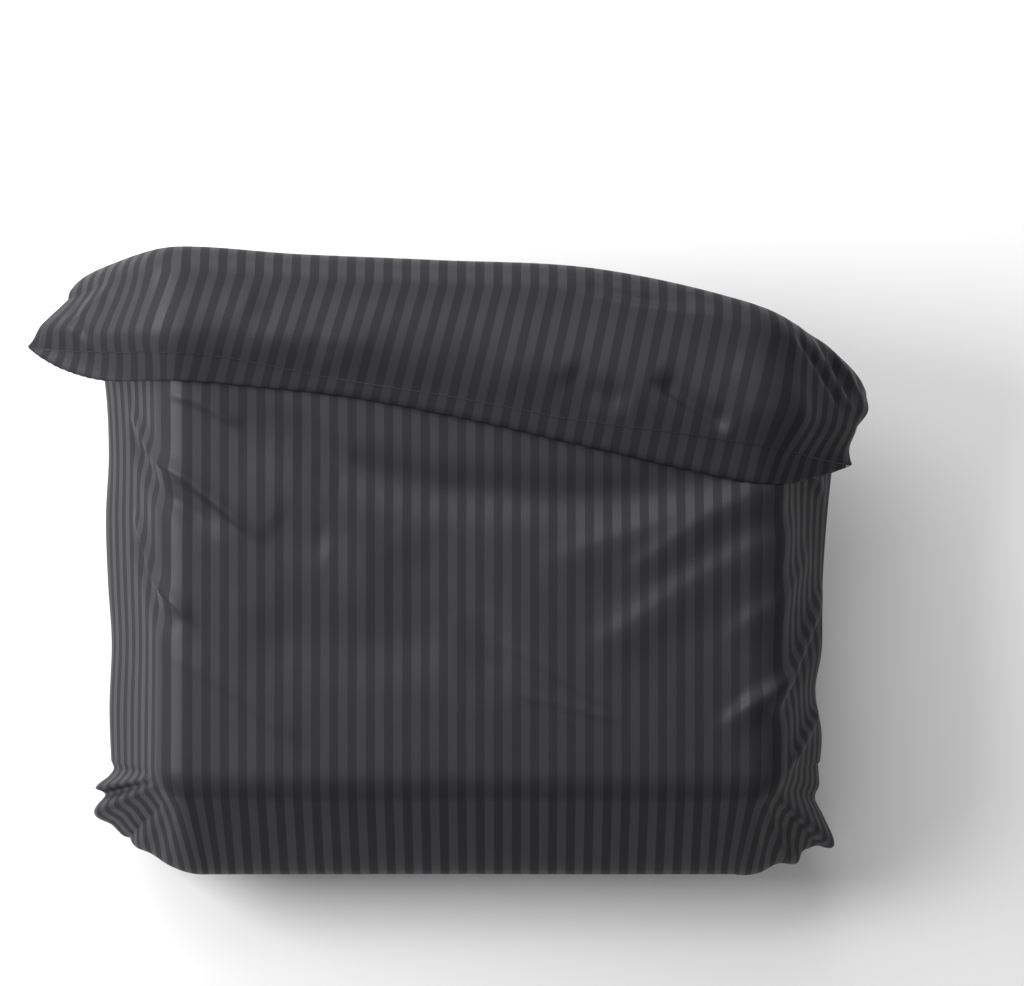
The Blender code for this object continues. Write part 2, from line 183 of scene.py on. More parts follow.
# %% How far the hanging cloth leans out, in degrees, at places up the bed
LEFT_LEAN = [
    (-1.00, 26.0), (-0.80, 27.5), (-0.62, 26.5), (-0.45, 28.5), (-0.28, 29.5),
    (-0.10, 28.0), (0.10, 30.0), (0.30, 38.0), (0.50, 40.0),
]
RIGHT_LEAN = [
    (-1.00, 20.0), (-0.88, 22.0), (-0.74, 18.5), (-0.66, 21.5), (-0.45, 23.0),
    (-0.20, 27.0), (0.05, 33.0), (0.30, 39.0), (0.50, 40.0),
]
LEFT_FLAP_LEAN = [(0.0, 45.0), (0.4, 52.0), (1.0, 60.5)]
RIGHT_FLAP_LEAN = [(0.0, 42.0), (0.22, 46.0), (0.5, 41.0), (0.7, 43.0), (1.0, 54.5)]


def side_lean(left, y, turned, share):
    """Lean of a side; turned is 1 on the turned-down part, and share runs from 0 at its nose to 1 at its edge."""
    lying = np.where(left, through(LEFT_LEAN, y), through(RIGHT_LEAN, y))
    flap = np.where(left, through(LEFT_FLAP_LEAN, share), through(RIGHT_FLAP_LEAN, share))
    return np.radians(lying + (flap - lying) * turned)


# %% Pleats of the foot corners: degrees round the corner, and how far the hem stands out of its even curve
LEFT_CORNER = [
    (0.0, 0.0), (4.0, -0.004), (9.0, 0.014), (14.0, 0.052), (17.0, 0.034), (19.0, 0.028), (24.0, 0.066),
    (36.0, 0.038), (52.0, 0.028), (60.0, 0.006), (70.0, 0.006), (90.0, 0.0),
]
RIGHT_CORNER = [
    (0.0, 0.0), (16.0, 0.008), (28.0, 0.006), (34.0, 0.045), (42.0, 0.105), (50.0, 0.060), (55.0, 0.040),
    (60.0, 0.050), (66.0, 0.020), (76.0, 0.014), (90.0, 0.0),
]
FOOT_LEAN = math.radians(40.0)
SIDE_RUN = HALF_WIDTH - EDGE_TAKE_UP - (BED_HALF_WIDTH - EDGE_RADIUS)
FOOT_RUN = FOOT_OVERHANG + EDGE_RADIUS
LEAN_STEPS, LEAN_SINES, TINY = 8, (0.1, 0.9), 0.05
HANG_RADIUS = EDGE_RADIUS + HALF_LOFT
CORNER_SIDE_LEAN = (math.radians(LEFT_LEAN[0][1]), math.radians(RIGHT_LEAN[0][1]))


def hem_reach(run, lean):
    """How far out the hem is when a run of cloth hangs with a lean."""
    return HANG_RADIUS * np.cos(lean) + (run - HANG_RADIUS * (math.pi / 2 - lean)) * np.sin(lean)


def corner_lean(left, turn):
    """Lean that brings the hem to its place round a foot corner."""
    degrees = np.degrees(turn)
    to_foot = smooth(degrees, 0.0, 90.0)
    side = hem_reach(SIDE_RUN, np.where(left, *CORNER_SIDE_LEAN))
    pleat = np.where(left, through(LEFT_CORNER, degrees), through(RIGHT_CORNER, degrees))
    out = side + (hem_reach(FOOT_RUN, FOOT_LEAN) - side) * to_foot + pleat
    cloth = np.minimum(SIDE_RUN / np.maximum(np.cos(turn), TINY), FOOT_RUN / np.maximum(np.sin(turn), TINY))
    lean = np.full(turn.shape, FOOT_LEAN)
    for _ in range(LEAN_STEPS):
        straight = cloth - HANG_RADIUS * (math.pi / 2 - lean)
        lean = np.arcsin(np.clip((out - HANG_RADIUS * np.cos(lean)) / straight, *LEAN_SINES))
    return lean


# %% Take a point over the edge
FOOT_DRAW = 0.09
FOOT_DRAW_START, FOOT_DRAW_END, FOOT_DRAW_LOSS = (0.62, 0.80), (0.85, 1.05), 0.7
FOOT_DRAW_DEPTH = 0.36
CORNER_TAKE_UP = 0.09
TOP_X = BED_HALF_WIDTH - EDGE_RADIUS
TOP_Y = BED_HALF_LENGTH - EDGE_RADIUS


def drawn_in(x, out_y):
    """How far the ends of the hanging foot are drawn in towards the middle."""
    ends = smooth(np.abs(x), *FOOT_DRAW_START) - FOOT_DRAW_LOSS * smooth(np.abs(x), *FOOT_DRAW_END)
    return np.sign(x) * FOOT_DRAW * ends * np.minimum(out_y, FOOT_DRAW_DEPTH)


def lean_at(x, out_x, out_y, lean_side):
    """Lean of the hanging cloth: its side's, the foot's, or a corner's between the two."""
    at_corner = (out_x > 0) & (out_y > 0)
    turn = np.where(at_corner, np.arctan2(out_y, out_x), math.pi / 4)
    lean = np.where(out_y > 0, FOOT_LEAN, lean_side)
    return np.where(at_corner, corner_lean(x < 0, turn), lean)


def over_the_edge(x, y, w, lean_side, turned, lift):
    """x, y: place as if the bed had no end; w: height over the mattress; lift: extra height off the cloth."""
    out_x = np.maximum(np.abs(x) - TOP_X, 0.0)
    out_y = np.maximum(-y - TOP_Y, 0.0)
    out = np.hypot(out_x, out_y)
    safe = np.where(out > 0, out, 1.0)
    lean = lean_at(x, out_x, out_y, lean_side)
    middle = EDGE_RADIUS + HALF_LOFT + (FLAP_MIDDLE - HALF_LOFT) * turned
    bend_end = math.pi / 2 - lean
    bend = np.minimum(out / middle, bend_end)
    rest = np.maximum(out - middle * bend_end, 0.0)
    radius = EDGE_RADIUS + w + lift
    reach = radius * np.sin(bend) + rest * np.sin(lean)
    taken_up = CORNER_TAKE_UP * np.sin(2 * np.arctan2(out_y, out_x)) ** 2
    place_x = np.where(out_x > 0, np.sign(x) * (TOP_X + reach * out_x / safe), x)
    place_y = np.where(out_y > 0, -TOP_Y - reach * out_y / safe, y)
    place_z = -EDGE_RADIUS + radius * np.cos(bend) - rest * np.cos(lean) * (1.0 - taken_up)
    return np.stack([place_x - drawn_in(x, out_y), place_y, place_z], -1)


print("the foot hem reaches out:", round(float(hem_reach(FOOT_RUN, FOOT_LEAN)), 3))

# %% [markdown]
# ## Creases
# A duvet that has been spread by hand shows a few long creases that run from where it was pulled, soft
# hollows under the turned-down part, and fine hairlines. Each is a line with a height, a width and a
# sharpness, and they are all added up along the cloth's normal. They are shape, not shading, so they also
# bend the outline.


# %% One crease
FAR_AWAY = 9.0
CREASE_END = 0.25


def crease(x, y, points, height, width, steep=0.0):
    """A soft ridge along a line, or a hollow with a height below zero; steep makes one side sharper."""
    path = np.array(points, float)
    total = 0.0
    lengths = np.hypot(*np.diff(path, axis=0).T)
    whole = lengths.sum()
    best = np.full(x.shape, FAR_AWAY)
    share = np.zeros(x.shape)
    side = np.zeros(x.shape)
    for start, end, length in zip(path[:-1], path[1:], lengths):
        along = (end - start) / length
        t = np.clip((x - start[0]) * along[0] + (y - start[1]) * along[1], 0.0, length)
        dx = x - start[0] - along[0] * t
        dy = y - start[1] - along[1] * t
        gap = np.hypot(dx, dy)
        nearer = gap < best
        best = np.where(nearer, gap, best)
        share = np.where(nearer, (total + t) / whole, share)
        side = np.where(nearer, np.sign(along[0] * dy - along[1] * dx), side)
        total += length
    spread = width * (1.0 + steep * side)
    ends = smooth(share, 0.0, CREASE_END) * smooth(1.0 - share, 0.0, CREASE_END)
    return height * ends * np.exp(-((best / spread) ** 2))


# %% The long creases and hollows on the bed, in metres on the mattress plane
CREASES = [
    ([(-1.02, 0.03), (-0.84, -0.11), (-0.66, -0.25), (-0.53, -0.36)], 0.016, 0.017, 0.45),
    ([(-1.02, -0.03), (-0.86, -0.17), (-0.64, -0.34)], -0.014, 0.030, 0.0),
    ([(-0.98, -0.25), (-0.86, -0.41), (-0.72, -0.58)], 0.014, 0.016, 0.45),
    ([(-0.98, -0.31), (-0.88, -0.46), (-0.76, -0.60)], -0.010, 0.026, 0.0),
    ([(-0.78, 0.085), (-0.46, -0.06), (-0.33, -0.145), (-0.10, -0.20), (0.243, -0.225), (0.43, -0.22),
      (0.76, -0.16)], -0.024, 0.060, 0.0),
    ([(-0.80, 0.06), (-0.70, 0.02), (-0.60, -0.04)], 0.010, 0.016, 0.3),
    ([(0.15, -0.42), (0.473, -0.302), (0.84, -0.180)], 0.013, 0.060, -0.3),
    ([(0.38, -0.46), (0.644, -0.267), (0.92, -0.150)], 0.011, 0.046, -0.3),
    ([(0.28, -0.66), (0.602, -0.447), (0.96, -0.250)], 0.013, 0.056, -0.3),
    ([(0.66, -0.62), (0.853, -0.468), (1.05, -0.34)], 0.009, 0.040, -0.3),
    ([(0.64, -0.86), (0.78, -0.75), (0.94, -0.62), (1.16, -0.44)], 0.021, 0.036, -0.4),
    ([(0.74, -0.86), (0.86, -0.76), (1.00, -0.65), (1.18, -0.52)], -0.014, 0.034, 0.0),
    ([(0.84, -0.95), (0.98, -0.86), (1.14, -0.78)], 0.018, 0.020, -0.3),
    ([(0.80, 0.02), (0.95, -0.12), (1.14, -0.24)], 0.012, 0.030, 0.3),
    ([(-0.54, -0.28), (-0.45, -0.33), (-0.36, -0.36)], -0.007, 0.050, 0.0),
    ([(0.06, -0.59), (0.24, -0.70), (0.42, -0.81)], 0.0030, 0.014, 0.3),
    ([(0.10, -0.74), (0.26, -0.78), (0.44, -0.83)], 0.0025, 0.014, 0.3),
    ([(0.02, -0.66), (0.18, -0.76), (0.30, -0.86)], 0.0025, 0.014, -0.3),
    ([(-0.62, -0.55), (-0.30, -0.62), (0.0, -0.60)], -0.012, 0.09, 0.0),
    ([(-0.20, -0.32), (0.02, -0.52), (0.10, -0.78)], -0.009, 0.07, 0.0),
    ([(-0.60, -0.10), (-0.30, -0.30), (-0.25, -0.55)], 0.008, 0.060, 0.0),
    ([(-0.80, -0.62), (-0.60, -0.75), (-0.42, -0.90)], 0.007, 0.035, 0.3),
]


def bed_creases(x, y):
    """All the creases of the part that lies on the bed."""
    return sum(crease(x, y, points, height, width, steep) for points, height, width, steep in CREASES)


# %% The creases of the turned-down part
FLAP_CREASES = [
    ([(0.48, 0.10), (0.58, 0.03), (0.70, -0.05)], -0.024, 0.030, 0.3),
    ([(0.24, 0.12), (0.32, 0.06), (0.44, 0.03)], -0.014, 0.040, 0.0),
    ([(-0.60, 0.30), (-0.42, 0.20), (-0.36, 0.13)], -0.010, 0.040, 0.0),
    ([(0.84, 0.24), (0.96, 0.12), (1.05, 0.00)], -0.012, 0.014, 0.3),
    ([(0.92, 0.26), (1.04, 0.12), (1.12, 0.00)], -0.014, 0.018, 0.3),
    ([(0.98, 0.24), (1.10, 0.10), (1.15, 0.02)], 0.010, 0.014, 0.3),
    ([(0.66, 0.14), (0.80, 0.06), (0.92, -0.06)], 0.006, 0.040, 0.3),
    ([(-0.95, 0.36), (-1.05, 0.30), (-1.15, 0.22)], 0.012, 0.030, 0.0),
    ([(-1.14, 0.30), (-1.08, 0.24), (-1.04, 0.19)], -0.010, 0.020, 0.0),
    ([(0.26, 0.345), (0.45, 0.30), (0.66, 0.275)], -0.012, 0.020, 0.5),
    ([(-0.90, 0.24), (-0.70, 0.21), (-0.50, 0.20)], -0.006, 0.040, 0.0),
    ([(-0.30, 0.20), (-0.10, 0.16), (0.15, 0.12)], -0.008, 0.050, 0.0),
]


def flap_creases(x, y):
    """All the creases of the turned-down part."""
    return sum(crease(x, y, points, height, width, steep) for points, height, width, steep in FLAP_CREASES)


# %% Gentle unevenness from the filling
waves = np.random.default_rng(7)
LUMP_COUNT = 26
LUMP_HEIGHT = 0.006
LUMPS = [
    (waves.uniform(2, 13), waves.uniform(0, 2 * math.pi), waves.uniform(0, 2 * math.pi))
    for _ in range(LUMP_COUNT)
]


def lumps(x, y):
    """Low soft waves in many directions, about one in height when added up."""
    total = np.zeros(np.broadcast(x, y).shape)
    for pitch, heading, start in LUMPS:
        total += np.sin(pitch * (x * math.cos(heading) + y * math.sin(heading)) + start) * (2.0 / pitch)
    return total / 3.0


print("creases:", len(CREASES), "on the bed,", len(FLAP_CREASES), "on the turned-down part")


# %% [markdown]
# ## The route from the table to the bed
# Each column of the table is laid in three runs: the part on the bed, the turn over the fold, and the
# turned-down part. Because all layers share the route, the panels, the casing and the filling stay nested.


# %% Three runs of a column
LEAST_FLAP = 0.05


def cloth_runs(u, half, face, inset):
    """Where a column's cloth reaches the fold, leaves it and ends, and the radius of its turn."""
    fold_y = nose_line(u) - FOLD_MIDDLE
    radius = FOLD_MIDDLE - HALF_LOFT - face * half
    fold_v = fold_y - FOOT_Y
    end_v = COVER_LENGTH - inset
    turn_v = np.minimum(fold_v + math.pi * radius, end_v - LEAST_FLAP)
    return fold_y, radius, fold_v, turn_v, end_v


def run_at(u, v, face, level=1.0, inset=0.0):
    """The run that a place on the table belongs to."""
    half = rise(HALF_WIDTH - inset - np.abs(u)) * level
    _, _, fold_v, turn_v, end_v = cloth_runs(u, half, face, inset)
    run = np.where(v < fold_v, (v - inset) / (fold_v - inset), 1 + (v - fold_v) / (turn_v - fold_v))
    return np.where(v > turn_v, 2 + (v - turn_v) / (end_v - turn_v), run)


# %% Where a run lies on the table, and where the turned-down part lies on the bed
def table_v(run, inset, fold_v, turn_v, end_v):
    """The place along the table that a run stands for."""
    v = np.where(run <= 1, inset + (fold_v - inset) * run, fold_v + (turn_v - fold_v) * (run - 1))
    return np.where(run > 2, turn_v + (end_v - turn_v) * (run - 2), v)


def turned_down(u, v, run, face, inset, fold_y, turn_v, end_v):
    """Place up the bed of the turned-down part, and how far v and the end of the turn are from the head edge."""
    past_seam = -1.0 if face > 0 else 1.0
    along = strip_width(u) + past_seam * (end_v - v)
    turn_along = strip_width(u) + past_seam * (end_v - turn_v)
    edge_y = flap_edge(u) + inset
    spare = fold_y - edge_y - ground(turn_along)
    return edge_y + ground(along) + spare * np.clip(3 - run, 0, 1), along, turn_along


# %% How the turned-down part swells and sinks
CROWN, CROWN_RUN, CROWN_END = 0.014, (1.3, 2.6), (0.45, 0.95)
NOSE_DROP, NOSE_RUN, NOSE_END = 0.020, (1.0, 1.7), (0.10, 0.60)
EDGE_DROP, EDGE_DROP_SHARE = 0.038, (0.50, 1.0)


def flap_height(half, share, along, turn_along):
    """Height of the turned-down panels: they close at the head edge, and their middle sinks towards the bed."""
    middle = FLAP_MIDDLE - EDGE_DROP * smooth(share, *EDGE_DROP_SHARE)
    return middle + half * head_rise(along) / head_rise(np.abs(turn_along))


def swell(half, run, share):
    """Extra height of the outer panel: lower at the nose of the fold and fuller behind it."""
    crown = CROWN * smooth(run, *CROWN_RUN) * (1.0 - smooth(share, *CROWN_END))
    nose = NOSE_DROP * smooth(run, *NOSE_RUN) * (1.0 - smooth(share, *NOSE_END))
    return (crown - nose) * half / HALF_LOFT


# %% How the creases lift the cloth
SEAM_FADE = (0.0, 0.06)
HEAD_FADE = (0.0, 0.02)
BED_FADE_RUN = (0.93, 1.0)
FLAP_FADE_RUN = (1.3, 2.1)
OTHER_LUMPS = 3.0


def cloth_lift(flat_place, bed_place, run, face, along, from_side):
    """Creases and lumps along the normal; they fade at the seams and round the fold."""
    side_x, v = flat_place
    x, y = bed_place
    table_y = v + FOOT_Y
    fade = smooth(from_side, *SEAM_FADE) * smooth(v, *SEAM_FADE)
    on_bed = (face > 0) * (1 - smooth(run, *BED_FADE_RUN)) * fade
    on_flap = np.where(face > 0, smooth(along, *HEAD_FADE), 1.0) * smooth(run, *FLAP_FADE_RUN) * fade
    bed = bed_creases(side_x, table_y) + LUMP_HEIGHT * lumps(side_x, table_y)
    flap = flap_creases(x, y) + LUMP_HEIGHT * lumps(x + OTHER_LUMPS, y)
    return on_bed * bed + on_flap * flap


# %% From table to bed
def lay(u, run, face, level=1.0, inset=0.0):
    """Places for table columns u and runs (0-1 on the bed, 1-2 round the fold, 2-3 turned down).

    face is +1 for the panel that is on top at the foot and -1 for the other. level is the share of the loft,
    and inset keeps the layer's edge in from the cover's edge. It returns the places and their (u, v)."""
    from_side = HALF_WIDTH - inset - np.abs(u)
    half = rise(from_side) * level
    side_x = np.sign(u) * (HALF_WIDTH - EDGE_TAKE_UP - inset - ground(from_side))
    fold_y, radius, fold_v, turn_v, end_v = cloth_runs(u, half, face, inset)
    v = table_v(run, inset, fold_v, turn_v, end_v)
    flap_y, along, turn_along = turned_down(u, v, run, face, inset, fold_y, turn_v, end_v)
    share = np.where(run > 2, (fold_y - flap_y) / (fold_y - flap_edge(u)), 0.0)

    angle = math.pi * np.clip(run - 1, 0, 1)
    y = np.where(run <= 1, FOOT_Y + v, fold_y + radius * np.sin(angle))
    y = np.where(run > 2, flap_y, y)
    foot_height = inset_height(inset)
    foot_share = rise(np.minimum(v, fold_v) - inset) / HALF_LOFT
    lying = foot_height + (HALF_LOFT - foot_height + face * half) * foot_share
    w = np.where(run <= 1, lying, FOLD_MIDDLE - radius * np.cos(angle))
    w = np.where(run > 2, flap_height(half, share, along, turn_along), w)
    w = w + swell(half, run, share) * (face < 0)

    x = side_x - FLAP_SKEW * share
    turned = smooth(run, 1.0, 2.0)
    lift = cloth_lift((side_x, v), (x, y), run, face, along, from_side)
    place = over_the_edge(x, y, w, side_lean(side_x < 0, y, turned, share), turned, lift)
    return place, np.stack([np.broadcast_to(u, v.shape), v], -1)


def inset_height(inset):
    """Height of a layer's foot edge: on the mattress for the cover, a little higher for what is inside."""
    return float(rise(inset)) / 2


TABLE_STEP = 0.002


def on_table(u, v, face, level=1.0, inset=0.0, off=0.0):
    """Places for table points, moved out of the cloth by off."""
    u = np.asarray(u, float)
    v = np.asarray(v, float)
    place = lay(u, run_at(u, v, face, level, inset), face, level, inset)[0]
    if off == 0.0:
        return place
    across = on_table(u + TABLE_STEP, v, face, level, inset) - place
    along = on_table(u, v + TABLE_STEP, face, level, inset) - place
    normal = np.cross(across, along) * face
    return place + off * normal / np.linalg.norm(normal, axis=-1, keepdims=True)


# %% Turn a grid of places into a mesh piece
def grid_faces(columns, rows, flip):
    """Quads of a grid with that many columns and rows of points."""
    index = np.arange(columns * rows).reshape(rows, columns)
    quads = np.stack([index[:-1, :-1], index[:-1, 1:], index[1:, 1:], index[1:, :-1]], -1).reshape(-1, 4)
    return quads[:, ::-1] if flip else quads


def new_piece(name, places, faces, table=None):
    """A mesh piece with its table places kept as a UV map in metres."""
    mesh = bpy.data.meshes.new(name)
    mesh.from_pydata(places.reshape(-1, 3).tolist(), [], [list(map(int, f)) for f in faces])
    if table is not None:
        flat = table.reshape(-1, 2)
        layer = mesh.uv_layers.new(name="table")
        corner = np.empty(len(mesh.loops), dtype=np.int32)
        mesh.loops.foreach_get("vertex_index", corner)
        layer.data.foreach_set("uv", flat[corner].astype(np.float32).ravel())
    mesh.polygons.foreach_set("use_smooth", np.ones(len(mesh.polygons), dtype=bool))
    mesh.update()
    piece = bpy.data.objects.new(name, mesh)
    bpy.context.scene.collection.objects.link(piece)
    return piece


def place_piece(piece, node):
    """Attach a piece of the duvet to the duvet body and hide the solid that it stands for."""
    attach(piece, "duvet_body")
    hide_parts(node)
    return piece


# %% The grid of the cover's panels
COLUMNS = 321
BED_ROWS, TURN_ROWS, FLAP_ROWS = 230, 18, 62
column_u = np.linspace(-HALF_WIDTH, HALF_WIDTH, COLUMNS)
bed_rows = np.linspace(0, 1, BED_ROWS, endpoint=False)
turn_rows = np.linspace(1, 2, TURN_ROWS, endpoint=False)
runs = np.concatenate([bed_rows, turn_rows, np.linspace(2, 3, FLAP_ROWS)])
print("grid of each panel:", COLUMNS, "x", len(runs))

# %% [markdown]
# ## The cover's two panels
# The cover is two equal panels of one cloth. The face panel is on top on the bed. The back panel lies on
# the mattress, and its outside shows where the head end is turned down. Each is one sheet with the table as
# its UV map.

# %% The two panels of the cover
table_u, table_run = np.meshgrid(column_u, runs)
panels = {}
for name, face in (("cover_face", 1), ("cover_back", -1)):
    places, table = lay(table_u, table_run, face)
    panel = new_piece(name, places, grid_faces(COLUMNS, len(runs), face < 0), table)
    panels[name] = place_piece(panel, name + "_panel")
    print(name, "box", places.reshape(-1, 3).min(0).round(3), places.reshape(-1, 3).max(0).round(3))
print("panels:", sum(len(p.data.polygons) for p in panels.values()), "faces")

# %% [markdown]
# ## Seams and hem
# The two panels are stitched together and turned right side out. What shows from outside is a narrow firm
# ridge where the turned edge is thickest. At the foot the cloth is simply folded, so its ridge is flatter.
# Each ridge is a thin tube along the edge of the panel itself, so it can't come away from it.


# %% A ridge that follows an edge
TAPER_STEPS = 3.0
TAPER_TIP = 0.25


def ridge(name, path, thick, flat=1.0, sides=8):
    """A closed tube along a path of points; flat under 1 presses it down."""
    path = np.asarray(path, float)
    ahead = np.gradient(path, axis=0)
    ahead /= np.linalg.norm(ahead, axis=1, keepdims=True)
    up = np.array([0.0, 0.0, 1.0]) - ahead * ahead[:, 2:3]
    up /= np.linalg.norm(up, axis=1, keepdims=True)
    side = np.cross(ahead, up)
    turn = np.linspace(0, 2 * math.pi, sides, endpoint=False)
    wide = np.cos(turn)[None, :, None] * side[:, None] * thick
    high = np.sin(turn)[None, :, None] * up[:, None] * thick * flat
    steps = np.arange(len(path))
    taper = np.clip(np.minimum(steps, steps[::-1]) / TAPER_STEPS, TAPER_TIP, 1.0)
    places = path[:, None] + (wide + high) * taper[:, None, None]
    rings, count = places.shape[:2]
    index = np.arange(rings * count).reshape(rings, count)
    after = np.roll(index, -1, axis=1)
    quads = np.stack([index[:-1], after[:-1], after[1:], index[1:]], -1).reshape(-1, 4).tolist()
    quads += [index[0][::-1].tolist(), index[-1].tolist()]
    return new_piece(name, places, quads)


# %% The ridges of the cover
SIDE_SEAM_THICK = 0.0021
HEAD_SEAM_THICK = 0.0019
HEM_FOLD_THICK, HEM_FOLD_FLAT = 0.0024, 0.8
face_places = np.array([v.co for v in panels["cover_face"].data.vertices]).reshape(len(runs), COLUMNS, 3)
rims = {
    "left_edge_seam": (face_places[:, 0], SIDE_SEAM_THICK, 1.0),
    "right_edge_seam": (face_places[:, -1], SIDE_SEAM_THICK, 1.0),
    "head_edge_seam": (face_places[-1, :], HEAD_SEAM_THICK, 1.0),
    "foot_hem_fold": (face_places[0, :], HEM_FOLD_THICK, HEM_FOLD_FLAT),
}
seams = []
for name, (path, thick, flat) in rims.items():
    seams.append(place_piece(ridge(name + "_ridge", path, thick, flat), name))
print("seams:", [s.name for s in seams])

# %% [markdown]
# ## Hem facings and zip
# The opening is in the back of the foot hem. Strips of cloth face it, and a zip with a nylon coil closes
# it. The strips follow the back panel and stand a little off it, so each one is a thin closed slab.


# %% A thin closed slab between two grids
def outline(grid):
    """The outer points of a grid, once round."""
    return np.concatenate([grid[0, :-1], grid[:-1, -1], grid[-1, :0:-1], grid[:0:-1, 0]])


def slab(name, outer, inner):
    """A closed piece between two grids of the same size."""
    rows, columns = outer.shape[:2]
    around = outline(np.arange(rows * columns).reshape(rows, columns))
    after = np.roll(around, -1)
    count = rows * columns
    faces = grid_faces(columns, rows, False).tolist() + (grid_faces(columns, rows, True) + count).tolist()
    faces += np.stack([after, around, around + count, after + count], -1).tolist()
    both = np.concatenate([outer.reshape(-1, 3), inner.reshape(-1, 3)])
    piece = new_piece(name, both, np.array(faces))
    turn_outwards(piece)
    return piece


def turn_outwards(piece):
    """Turn a closed piece's faces outwards, by the sign of its volume."""
    work = bmesh.new()
    work.from_mesh(piece.data)
    bmesh.ops.recalc_face_normals(work, faces=work.faces)
    if work.calc_volume(signed=True) < 0:
        bmesh.ops.reverse_faces(work, faces=work.faces)
    work.to_mesh(piece.data)
    work.free()


STRIP_ROWS = 5


def back_strip(name, sides, rows, off, thick, steps):
    """A strip on the outside of the back panel between two u and two v."""
    u, v = np.meshgrid(np.linspace(*sides, steps), np.linspace(*rows, STRIP_ROWS))
    return slab(name, on_table(u, v, -1, off=off + thick), on_table(u, v, -1, off=off))


# %% The hem facings and the two tapes of the zip
ZIP_HALF = 0.60
FACING_END = HALF_WIDTH - 0.012
FACING_ROWS = (0.002, 0.034)
TAPE_WIDTH = 0.0112
COIL_WIDTH = 0.0022
TAPE_LOW = FACING_ROWS[1] + 0.0003
ZIP_MIDDLE = TAPE_LOW + TAPE_WIDTH + COIL_WIDTH + 0.00045
TAPE_HIGH = 2 * ZIP_MIDDLE - TAPE_LOW
STRIP_OFF = 0.0004
FACING_THICK, TAPE_THICK = 0.0008, 0.0006
END_STEPS, ZIP_STEPS = 70, 90
ALONG_ZIP = (-ZIP_HALF, ZIP_HALF)
FACINGS = (
    ("hem_facing_left", "hem_facing_left_strip", (-FACING_END, -ZIP_HALF), END_STEPS),
    ("hem_facing_right", "hem_facing_right_strip", (ZIP_HALF, FACING_END), END_STEPS),
    ("hem_facing_under_zip", "hem_facing_zip_strip", ALONG_ZIP, ZIP_STEPS),
)
TAPES = (
    ("zip_tape_lower", (TAPE_LOW, ZIP_MIDDLE - COIL_WIDTH)),
    ("zip_tape_upper", (ZIP_MIDDLE + COIL_WIDTH, TAPE_HIGH)),
)


facings = []
for node, name, sides, steps in FACINGS:
    strip = back_strip(name, sides, FACING_ROWS, STRIP_OFF, FACING_THICK, steps)
    facings.append(place_piece(strip, node))
tapes = []
for node, rows in TAPES:
    strip = back_strip(node + "_strip", ALONG_ZIP, rows, STRIP_OFF, TAPE_THICK, ZIP_STEPS)
    tapes.append(place_piece(strip, node))
print("strips on the hem:", len(facings) + len(tapes))

# %% The nylon coil: one small loop, copied along the zip
TOOTH_PITCH = 0.0025
TOOTH_WIDE, TOOTH_HIGH = 0.00055, 0.00044
COIL_END = 0.006
LOOP_ACROSS = COIL_WIDTH * np.array([1.0, 0.6, -0.1, -0.35])
LOOP_OFF = np.array([0.0007, 0.0019, 0.0020, 0.0012])
TOOTH_CORNERS = ((-1, -1), (1, -1), (1, 1), (-1, 1))


def tooth_faces(start, knots):
    """Faces of one square tube whose corners start at a point number."""
    faces = []
    for k in range(knots - 1):
        a = start + 4 * k
        faces += [[a + i, a + (i + 1) % 4, a + 4 + (i + 1) % 4, a + 4 + i] for i in range(4)]
    last = start + 4 * (knots - 1)
    return faces + [[start + 3, start + 2, start + 1, start], [last, last + 1, last + 2, last + 3]]


def coil(name, side):
    """Rounded loops that lean over the middle of the zip, from one side of it."""
    middles = np.arange(-ZIP_HALF + COIL_END, ZIP_HALF - COIL_END, TOOTH_PITCH) + (side > 0) * TOOTH_PITCH / 2
    u, v = np.meshgrid(middles, ZIP_MIDDLE + side * LOOP_ACROSS, indexing="ij")
    base = on_table(u, v, -1)
    out = on_table(u, v, -1, off=1.0) - base
    path = base + out * LOOP_OFF[None, :, None]
    places, faces = [], []
    for loop, away in zip(path, out):
        faces += tooth_faces(len(places), len(loop))
        for knot, normal in zip(loop, away):
            for du, dh in TOOTH_CORNERS:
                places.append(knot + np.array([du * TOOTH_WIDE, 0, 0]) + normal * dh * TOOTH_HIGH)
    piece = new_piece(name, np.array(places), faces)
    turn_outwards(piece)
    return piece


coils = []
for node, side in (("zip_coil_lower", -1), ("zip_coil_upper", 1)):
    coils.append(place_piece(coil(node + "_loops", side), node))
print("loops of the coil:", [len(piece.data.vertices) // 16 for piece in coils])

# %% [markdown]
# ## The inner duvet
# Inside the cover is a quilted cotton casing. Lines of stitching divide it into cassettes, five along the
# bed by six across, and each cassette is filled with fibre. The casing is pinched at every line of
# stitching.

# %% The casing, pinched at its quilting lines
CASING_INSET = 0.030
ACROSS, ALONG = 6, 5
CASING_LEVEL = 0.78
CASING_COLUMNS, CASING_ROWS = 181, 171
PINCH, PINCH_WIDTH = 0.55, 0.022
SLACK, SLACK_SIDE = 0.96, (0.78, 1.04)
SLACK_HEAD, SLACK_FOOT = (1.75, 1.95), (0.15, 0.40)
BINDING_THICK, BINDING_FLAT = 0.0024, 0.7
casing_u_lines = np.linspace(-HALF_WIDTH + CASING_INSET, HALF_WIDTH - CASING_INSET, ACROSS + 1)
casing_v_lines = np.linspace(CASING_INSET, COVER_LENGTH - CASING_INSET, ALONG + 1)


